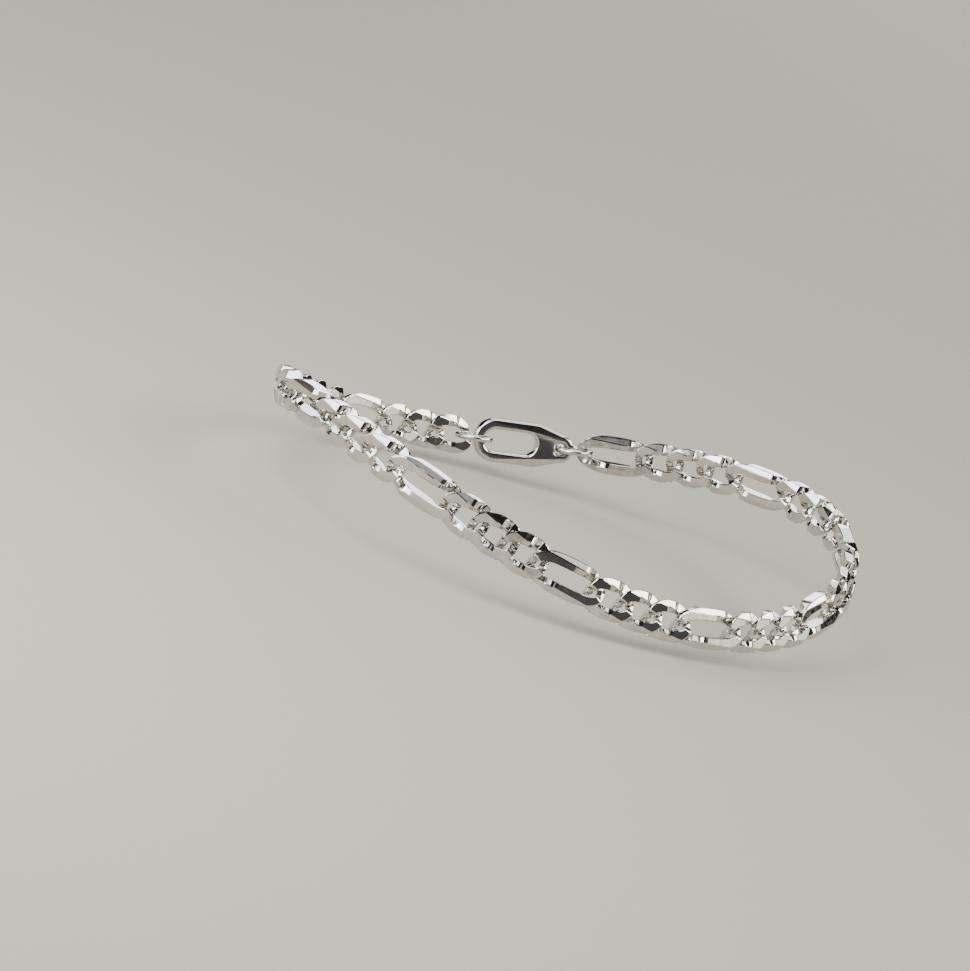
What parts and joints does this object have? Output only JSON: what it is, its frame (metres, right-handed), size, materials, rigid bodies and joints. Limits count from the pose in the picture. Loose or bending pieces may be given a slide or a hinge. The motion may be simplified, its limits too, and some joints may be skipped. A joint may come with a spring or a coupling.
{
  "type": "link bracelet",
  "caption": "Closed bracelet of flat-cut figaro chain, short oval links between long ones, joined by two jump rings and a claw clasp, lying as it does round a wrist.",
  "frame": {"origin": "middle of the wrist that the loop lies round, at the chain's mean height", "axes": "+Z along the wrist, +X across its width to the side that the chain's visible run ends on, -Y to the side that faces the viewer, +Y to the clasp"},
  "size_m": [0.0643, 0.0511, 0.0108],
  "materials": {
    "silver": "polished"
  },
  "bodies": {
    "root": {"short_link_01": "silver", "short_link_02": "silver", "short_link_03": "silver", "short_link_04": "silver", "short_link_05": "silver", "short_link_06": "silver", "short_link_07": "silver", "short_link_08": "silver", "short_link_09": "silver", "short_link_10": "silver", "short_link_11": "silver", "short_link_12": "silver", "short_link_13": "silver", "short_link_14": "silver", "short_link_15": "silver", "short_link_16": "silver", "short_link_17": "silver", "short_link_18": "silver", "short_link_19": "silver", "short_link_20": "silver", "short_link_21": "silver", "short_link_22": "silver", "short_link_23": "silver", "short_link_24": "silver", "short_link_25": "silver", "short_link_26": "silver", "short_link_27": "silver", "short_link_28": "silver", "short_link_29": "silver", "short_link_30": "silver", "long_link_01": "silver", "long_link_02": "silver", "long_link_03": "silver", "long_link_04": "silver", "long_link_05": "silver", "long_link_06": "silver", "long_link_07": "silver", "long_link_08": "silver", "long_link_09": "silver", "long_link_10": "silver", "jump_ring_1": "silver", "jump_ring_2": "silver", "clasp": "silver"}
  },
  "joints": []
}
